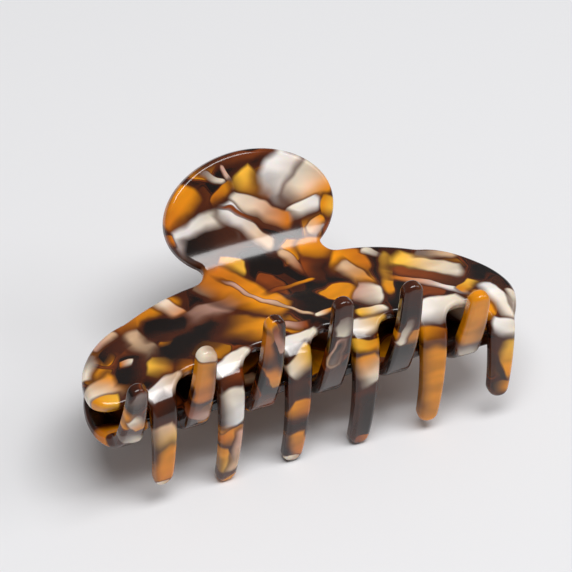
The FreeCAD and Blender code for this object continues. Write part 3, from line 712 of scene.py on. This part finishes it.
def acetate(name, chips):
    """Polished tortoiseshell acetate: listed chips over a ground of random ones, under a gloss."""
    material = bpy.data.materials.new(name)
    material.use_nodes = True
    tree = material.node_tree
    tree.nodes.clear()
    sheet = node(tree, "ShaderNodeAttribute", attribute_name="sheet").outputs["Vector"]

    warped = sheet
    for scale, detail, reach in ((SWIRL_SCALE, 1.5, SWIRL), (FRAY_SCALE, 0.5, FRAY)):
        noise = node(tree, "ShaderNodeTexNoise", {"Vector": sheet, "Scale": scale, "Detail": detail})
        centred = node(tree, "ShaderNodeVectorMath", {0: noise.outputs["Color"], 1: (0.5, 0.5, 0.5)},
                       operation="SUBTRACT").outputs[0]
        push = node(tree, "ShaderNodeVectorMath", {0: centred, "Scale": reach}, operation="SCALE").outputs[0]
        warped = node(tree, "ShaderNodeVectorMath", {0: warped, 1: push}, operation="ADD").outputs[0]
    flat = node(tree, "ShaderNodeVectorMath", {0: warped, 1: (1, 1, 0)}, operation="MULTIPLY").outputs[0]

    cells = node(tree, "ShaderNodeTexVoronoi", {"Vector": flat, "Scale": GROUND_SCALE, "Smoothness": 0.3},
                 feature="SMOOTH_F1").outputs["Color"]
    pick = node(tree, "ShaderNodeSeparateColor", {0: cells}).outputs[0]
    ramp = node(tree, "ShaderNodeValToRGB", {0: pick})
    while len(ramp.color_ramp.elements) < len(GROUND):
        ramp.color_ramp.elements.new(0.5)
    for element, (position, colour) in zip(ramp.color_ramp.elements, GROUND):
        element.position = position
        element.color = colour
    colour = ramp.outputs[0]
    for x, station, half_length, half_width, degrees, near, far in chips:
        chip = node(tree, "ShaderNodeGroup", node_tree=CHIP)
        tree.links.new(flat, chip.inputs["Place"])
        tree.links.new(colour, chip.inputs["Ground"])
        chip.inputs["Near"].default_value = near
        chip.inputs["Far"].default_value = far
        chip.inputs["Centre"].default_value = (x, station, 0)
        chip.inputs["Turn"].default_value = (0, 0, math.radians(degrees))
        chip.inputs["Size"].default_value = (half_length, half_width, 1)
        colour = chip.outputs[0]

    stretched = node(tree, "ShaderNodeMapping", {
        "Vector": warped, "Rotation": (0, 0, STREAK_TURN), "Scale": STREAK_SCALE,
    }).outputs[0]
    cloud = node(tree, "ShaderNodeTexNoise", {"Vector": stretched, "Scale": 1.0, "Detail": 1.0}).outputs[0]
    tone = node(tree, "ShaderNodeMapRange", {0: cloud, 1: 0.3, 2: 0.7, 3: DARKEST, 4: LIGHTEST}).outputs[0]
    deepened = mix_colours(tree, 1.0, colour, tone, "MULTIPLY")
    shader = node(tree, "ShaderNodeBsdfPrincipled", {
        "Base Color": deepened, "Roughness": 0.12, "IOR": 1.47, "Coat Weight": 0.15, "Coat Roughness": 0.03,
        "Subsurface Weight": 0.25, "Subsurface Radius": (2.4, 1.0, 0.3), "Subsurface Scale": MM,
    })
    node(tree, "ShaderNodeOutputMaterial", {"Surface": shader.outputs[0]})
    return material


def steel(name, colour, roughness, grain):
    """Plated or drawn steel with a fine grain."""
    material = bpy.data.materials.new(name)
    material.use_nodes = True
    tree = material.node_tree
    tree.nodes.clear()
    place = node(tree, "ShaderNodeTexCoord").outputs["Object"]
    stretched = node(tree, "ShaderNodeMapping", {"Vector": place, "Scale": grain}).outputs[0]
    noise = node(tree, "ShaderNodeTexNoise", {"Vector": stretched, "Scale": 1.0, "Detail": 4.0}).outputs[0]
    tone = node(tree, "ShaderNodeMapRange", {0: noise, 3: 0.75, 4: 1.15}).outputs[0]
    tint = mix_colours(tree, 1.0, colour, tone, "MULTIPLY")
    rough = node(tree, "ShaderNodeMapRange", {0: noise, 3: roughness * 0.7, 4: roughness * 1.5}).outputs[0]
    bump = node(tree, "ShaderNodeBump", {"Strength": 0.15, "Distance": 0.00005, "Height": noise}).outputs[0]
    shader = node(tree, "ShaderNodeBsdfPrincipled", {
        "Base Color": tint, "Metallic": 1.0, "Roughness": rough, "Normal": bump,
    })
    node(tree, "ShaderNodeOutputMaterial", {"Surface": shader.outputs[0]})
    return material


def paint(obj, material):
    obj.data.materials.clear()
    obj.data.materials.append(material)


def paint_jaw(jaw, name, chips):
    """Gives each region of a jaw its own share of the pattern."""
    mesh = jaw.data
    for i, region in enumerate(REGIONS):
        mesh.materials.append(acetate(f"{name}_{i}", chips_near(region, chips)))
    sheet = mesh.attributes["sheet"].data
    for face in mesh.polygons:
        x, station, _ = sum((sheet[v].vector for v in face.vertices), Vector((0, 0, 0))) / len(face.vertices)
        for i, (left, right, top, foot) in enumerate(REGIONS):
            if left <= x < right and top <= station < foot:
                face.material_index = i


for where, flip, chips in (("upper", False, UPPER_CHIPS_AND_HIGHLIGHTS), ("lower", True, LOWER_CHIPS)):
    jaw = jaw_mesh(where + "_jaw_sheet", flip)
    paint_jaw(jaw, where + "_tortoiseshell", chips)
    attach(jaw, where + "_half")
    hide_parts(where + "_jaw")

PLATE_STEEL = steel("nickel_plate", srgb(205, 200, 190), 0.28, (400, 4000, 400))
WIRE_STEEL = steel("spring_wire", srgb(190, 190, 192), 0.2, (3000, 3000, 3000))
for label, metal in (
    ("upper_hinge_leaf", PLATE_STEEL), ("lower_hinge_leaf", PLATE_STEEL), ("upper_leaf_rivets", PLATE_STEEL),
    ("lower_leaf_rivets", PLATE_STEEL), ("hinge_pin", WIRE_STEEL),
):
    paint(frame["nodes"][label], metal)

spring = spring_mesh("spring_wire")
paint(spring, WIRE_STEEL)
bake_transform(spring)
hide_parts("torsion_spring")


# --- Floor, light and camera --------------------------------------------------------------------------------
FLOOR_REACH = 3


def floor():
    """A plain sheet of pale paper."""
    corners = [(x * FLOOR_REACH, y * FLOOR_REACH, 0) for x, y in ((-1, -1), (1, -1), (1, 1), (-1, 1))]
    mesh = bpy.data.meshes.new("floor")
    mesh.from_pydata(corners, [], [(0, 1, 2, 3)])
    obj = bpy.data.objects.new("floor", mesh)
    bpy.context.collection.objects.link(obj)
    material = bpy.data.materials.new("paper")
    material.use_nodes = True
    shader = material.node_tree.nodes["Principled BSDF"]
    shader.inputs["Base Color"].default_value = srgb(232, 232, 234)
    shader.inputs["Roughness"].default_value = 0.75
    paint(obj, material)


def soft_box(name, azimuth, elevation, distance, width, height, power):
    """An area light aimed at the clip. Azimuth 0 stands on the camera's side of it, towards -Y."""
    a, e = math.radians(azimuth), math.radians(elevation)
    away = Vector((math.sin(a) * math.cos(e), -math.cos(a) * math.cos(e), math.sin(e)))
    light = bpy.data.lights.new(name, "AREA")
    light.shape = "RECTANGLE"
    light.size = width
    light.size_y = height
    light.energy = power
    obj = bpy.data.objects.new(name, light)
    obj.location = HINGE + away * distance
    obj.rotation_euler = (-away).to_track_quat("-Z", "Y").to_euler()
    bpy.context.collection.objects.link(obj)


def world(strength):
    """Even white light from all round."""
    made = bpy.data.worlds.new("studio")
    made.use_nodes = True
    background = made.node_tree.nodes["Background"]
    background.inputs["Color"].default_value = (1, 1, 1, 1)
    background.inputs["Strength"].default_value = strength
    bpy.context.scene.world = made


CAMERA_AZIMUTH = math.radians(-28.58)
CAMERA_ELEVATION = math.radians(46.92)
CAMERA_ROLL = math.radians(7.35)
CAMERA_DISTANCE = 1.0328
CAMERA_LENS = 262.8
AIM = HINGE + Vector((2.84, 0, 5.465)) * MM


def camera():
    """A long lens, turned a little about its own axis."""
    a, e = CAMERA_AZIMUTH, CAMERA_ELEVATION
    back = Vector((math.sin(a) * math.cos(e), -math.cos(a) * math.cos(e), math.sin(e)))
    right = Vector((math.cos(a), math.sin(a), 0))
    level = Matrix((right, back.cross(right), back)).transposed()
    turned = level @ Matrix.Rotation(CAMERA_ROLL, 3, "Z")
    lens = bpy.data.cameras.new("camera")
    lens.lens = CAMERA_LENS
    lens.sensor_width = 36
    lens.clip_end = 20
    obj = bpy.data.objects.new("camera", lens)
    obj.matrix_world = Matrix.Translation(AIM + back * CAMERA_DISTANCE) @ turned.to_4x4()
    bpy.context.collection.objects.link(obj)
    bpy.context.scene.camera = obj


bpy.context.scene.view_settings.view_transform = "Standard"
floor()
soft_box("key", azimuth=0, elevation=79, distance=1.2, width=1.0, height=0.4, power=12.6)
soft_box("fill", azimuth=70, elevation=40, distance=1.6, width=0.7, height=0.7, power=4)
world(0.2)
camera()
